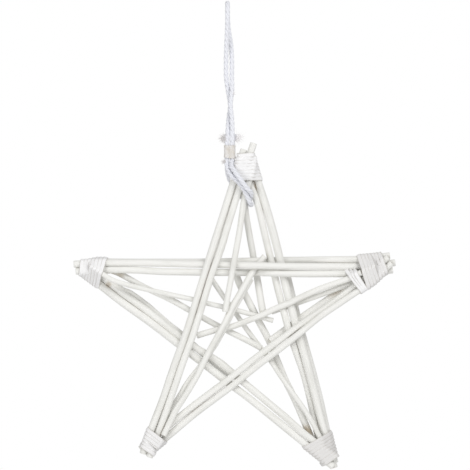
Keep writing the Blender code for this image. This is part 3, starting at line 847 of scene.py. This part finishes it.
def stain_and_shade_at(place):
    """How strong the golden-brown stains and painted shade are at a place."""
    most = 0
    for spot, depth, reach, strength in STAINS_AND_SHADE:
        away = math.hypot(place[0] / MILLIMETRE - spot[0], place[2] / MILLIMETRE - spot[1])
        if place[1] > depth * MILLIMETRE:
            most = max(most, strength * min(1, max(0, STAIN_AND_SHADE_EDGE * (1 - away / reach))))
    return most


def mark_grime_shade_and_stains(rod_name):
    """Marks a rod's points with their grime and painted shade in hollows, and their stains and painted
    shade.
    """
    near = [
        (p, r) for n, (line, r) in rod_lines.items() if n != rod_name for p in even_points(line, PRESS_STEP)
    ]
    tree = kdtree.KDTree(len(near))
    for i, (p, _) in enumerate(near):
        tree.insert(p, i)
    tree.balance()
    mesh = rods[rod_name].data
    depth = np.zeros(len(mesh.vertices), np.float32)
    for i, vertex in enumerate(mesh.vertices):
        gap = min(distance - near[j][1] for _, j, distance in tree.find_n(vertex.co, PRESS_NEIGHBOURS))
        depth[i] = min(1, max(0, (PRESS_REACH - gap) / (PRESS_REACH - PRESS_FULL))) ** 2
        if depth[i] > 0:
            depth[i] *= grime_and_shade_at(vertex.co)
    mesh.attributes.new("hollow_grime_and_shade", "FLOAT", "POINT").data.foreach_set("value", depth)
    stain_and_shade = [stain_and_shade_at(vertex.co) for vertex in mesh.vertices]
    mesh.attributes.new("stain_and_shade", "FLOAT", "POINT").data.foreach_set("value", stain_and_shade)


rod_lines = {n: centre_line(o) for n, o in sorted(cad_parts.items()) if n.endswith(("_rod", "_filler"))}
rods = {}
for number, (rod_name, (line, radius)) in enumerate(rod_lines.items()):
    left_size, right_size = TAPERS.get(rod_name, EVEN_TAPER)
    rod = grow.make(
        path_piece("willow_" + rod_name, [line]),
        willow,
        Radius=radius + PAINT_THICKNESS,
        Number=float(number),
        Ring_step=ROD_RING_STEP,
        Sides=ROD_SIDES,
        Left_size=left_size,
        Right_size=right_size,
    )
    cut_ends(rod.data, radius)
    rods[rod_name] = rod
for rod_name, rod in rods.items():
    mark_grime_shade_and_stains(rod_name)
    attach(rod, "root")
    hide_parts(rod_name)


# The bindings: flat cane, soaked and wound round the rods at each tip in two layers, its turns
# side by side and its ends tucked under. It is painted with the rods.
CANE_WIDTH = 0.0044
CANE_THICKNESS = 0.0010
CANE_SIDES = 14
# How square the strip's section is: 1 is round, 0 is square.
CANE_FLATNESS = 0.62
CANE_RING_STEP = 0.0009
CANE_POINTS = 90
CANE_REST = 0.0002
SECOND_LAYER = 0.00045
CANE_WANDER = 0.00006
WANDER_WAVES = 6
WAVE_LENGTH = 1.7
RIPPLE_HEIGHT = 0.00022
RIPPLE_GRAIN = 150.0
CANE_GRAIN = 4.0
CANE_CLOUDS = 55.0
# A wrap closes gently over the rods' ends: it still feels them this far past them.
PAST_END = 0.014
# Only what lies this near to a tip's middle is wrapped.
BINDING_SPAN = 0.035
# A winding starts at the back. Its ends sink this share of the cane's thickness, over these points.
BACK = 0.25
TUCK_DEPTH = 0.9
TUCK_POINTS = 14
CANE_PAINT = (0.915, 0.91, 0.915, 1)
CANE_GREY = (0.845, 0.84, 0.84, 1)
# The strip darkens towards its edges: painted shade in the seams between turns.
CANE_EDGE_SHADE = (0.62, 0.59, 0.54, 1)
OLD_CANE = (0.73, 0.715, 0.70, 1)
FORWARD = np.array([0, 1, 0])
STAR_MIDDLE = np.array([0.012, 0, -0.3135])
REACH = 0.166


def plane(across, up, lean):
    """A plane across a tip: its middle in hundredths of the star's reach, and its facing in degrees."""
    middle = STAR_MIDDLE + REACH * np.array([across / 100, 0, up / 100])
    return middle, np.array([math.cos(math.radians(lean)), 0, math.sin(math.radians(lean))])


# Each binding's first and last plane, how many turns it has, and how grey its paint has turned.
WINDINGS = {
    "top_cane_binding": (plane(3.9, 99.4, 96), plane(4.7, 83.6, 92), 8, 0.0),
    "left_cane_binding": (plane(-95.8, 31.3, 177), plane(-82.6, 27.4, 165), 7, 0.05),
    "right_cane_binding": (plane(87.2, 33.0, 22), plane(73.6, 28.3, 18), 7, 0.55),
    "lower_left_cane_binding": (plane(-55.2, -79.0, -122), plane(-47.7, -70.6, -126), 6, 0.3),
    "lower_right_cane_binding": (plane(55.3, -85.2, -52), plane(47.0, -72.0, -61), 8, 0.85),
}
# Three looser turns at the right tip go round the lower rods alone.
LOOSE_TURNS = (plane(74.0, 22.3, 31.5), plane(67.7, 23.3, 40.0), 3)
LOOSE_RODS = [
    "crossbar_lower_rod", "rising_upper_rod", "rising_lower_rod",
    "right_upper_filler", "right_lower_filler", "right_back_filler",
]

wind = Shape("flat_cane")
path = wind.in_rings(wind.curve())
facing_out = {"Curve": path, "Normal": wind.kept("outward", "FLOAT_VECTOR")}
path = wind.add("GeometryNodeSetCurveNormal", {"mode": "FREE"}, facing_out)
path = wind.keep(path, "along", wind.along())
circle = wind.circle()
half = TURN * wind.kept("around")
across = half.math("SINE")
flat = across.math("ABSOLUTE").math("POWER", CANE_FLATNESS) * across.math("SIGN")
dome = half.math("COSINE")
section = wind.joined(dome * wind.size("Thickness") * 0.5, flat * wind.size("Width") * 0.5, 0.0)
circle = wind.keep(circle, "edge", flat)
circle = wind.add("GeometryNodeSetPosition", {}, {"Geometry": circle, "Position": section})
cane_mesh = wind.swept(path, circle, 1.0)
skin = wind.joined(wind.kept("edge"), dome, wind.kept("along"))
cane_mesh = wind.keep(cane_mesh, "skin", skin, "FLOAT_VECTOR")
skin = wind.kept("skin", "FLOAT_VECTOR")
ripple = wind.noise(wind.stretched(skin, 0.004, 0.004, 1.0), RIPPLE_GRAIN, 2.0) - 0.5
wind.close(wind.raised(cane_mesh, ripple * RIPPLE_HEIGHT))

cane, recipe = material("cane_binding")
skin = recipe.mark("skin", "Vector")
# Painted shade darkens the strip towards its edges, in the seams between turns.
edge = recipe.ramp(recipe.mark("edge").math("ABSOLUTE"), 0.60, 0.86, 0.0, 0.6)
grain = recipe.noise(recipe.stretched(skin, 3.0, 3.0, 20.0), CANE_GRAIN, 3.0)
clouds = recipe.noise(recipe.stretched(skin, 0.01, 0.01, 1.0), CANE_CLOUDS)
paint = recipe.between(recipe.ramp(0.6 * grain + 0.4 * clouds, 0.42, 0.66), CANE_PAINT, CANE_GREY)
shaded(cane, recipe, {
    "Base Color": recipe.between(edge, recipe.between(recipe.mark("age"), paint, OLD_CANE), CANE_EDGE_SHADE),
    "Roughness": 0.42 + 0.2 * grain,
    "Specular IOR Level": 0.4,
    "Normal": recipe.bump(grain, 0.4, 0.0002),
})


def way_of(run):
    return run / np.linalg.norm(run)


def across_of(normal):
    """The direction in a plane that lies in the star's own plane."""
    return np.array([normal[2], 0, -normal[0]])


def bundle(place, normal, names):
    """The rods' cuts by a plane, as circles (across, forward, radius) measured from the place."""
    side = across_of(normal)
    circles = []
    for name in names:
        line, radius = rod_lines[name]
        out_left = way_of(line[0] - line[1])
        out_right = way_of(line[-1] - line[-2])
        longer = np.vstack([line[0] + out_left * PAST_END, line, line[-1] + out_right * PAST_END])
        for found, cosine in crossings(longer, place, normal):
            offset = found - place
            past = max(0, (found - line[0]) @ out_left, (found - line[-1]) @ out_right)
            if np.linalg.norm(offset) < BINDING_SPAN:
                circles.append((offset @ side, offset[1], radius / cosine * max(0, 1 - past / PAST_END)))
    return circles


def between_planes(start, end, share):
    """A plane, (middle, normal), part of the way from one to another."""
    return start[0] + share * (end[0] - start[0]), way_of(start[1] + share * (end[1] - start[1]))


def wound(start, end, turns, names, lift):
    """Cane wound in turns from one plane, (middle, normal), to another, with tucked ends."""
    points, outward = [], []
    total = round(turns * CANE_POINTS)
    wander = chance.normal(size=(WANDER_WAVES, 2))
    above = CANE_REST + lift + CANE_THICKNESS / 2
    for k in range(total + 1):
        share = k / total
        place, normal = between_planes(start, end, share)
        side = across_of(normal)
        angle = TURN * (share * turns + BACK)
        x, y = hull_point([(cx, cy, r + above) for cx, cy, r in bundle(place, normal, names)], angle)
        way = math.cos(angle) * side + math.sin(angle) * FORWARD
        drift = sum(
            a * math.sin((i + 1) * WAVE_LENGTH * share * turns + b) for i, (a, b) in enumerate(wander)
        )
        under = max(0, 1 - k / TUCK_POINTS, 1 - (total - k) / TUCK_POINTS)
        point = place + x * side + y * FORWARD
        points.append(point - way * CANE_THICKNESS * TUCK_DEPTH * under + normal * drift * CANE_WANDER)
        outward.append(way)
    return np.array(points), outward


for node_name, (start, end, turns, greyness) in WINDINGS.items():
    inset = 0.5 / turns
    first_layer = between_planes(start, end, inset), between_planes(end, start, inset)
    windings = [
        (*wound(*first_layer, turns - 1, rod_lines, 0), greyness),
        (*wound(start, end, turns, rod_lines, SECOND_LAYER), greyness),
    ]
    if node_name == "right_cane_binding":
        windings.append((*wound(*LOOSE_TURNS, LOOSE_RODS, 0), 0))
    strip = path_piece(
        node_name + "_strip",
        [points for points, _, _ in windings],
        np.vstack([outward for _, outward, _ in windings]),
        [age for points, _, age in windings for _ in points],
    )
    binding = wind.make(
        strip,
        cane,
        Ring_step=CANE_RING_STEP,
        Sides=CANE_SIDES,
        Thickness=CANE_THICKNESS,
        Width=CANE_WIDTH,
    )
    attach(binding, "root")
    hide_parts(node_name)
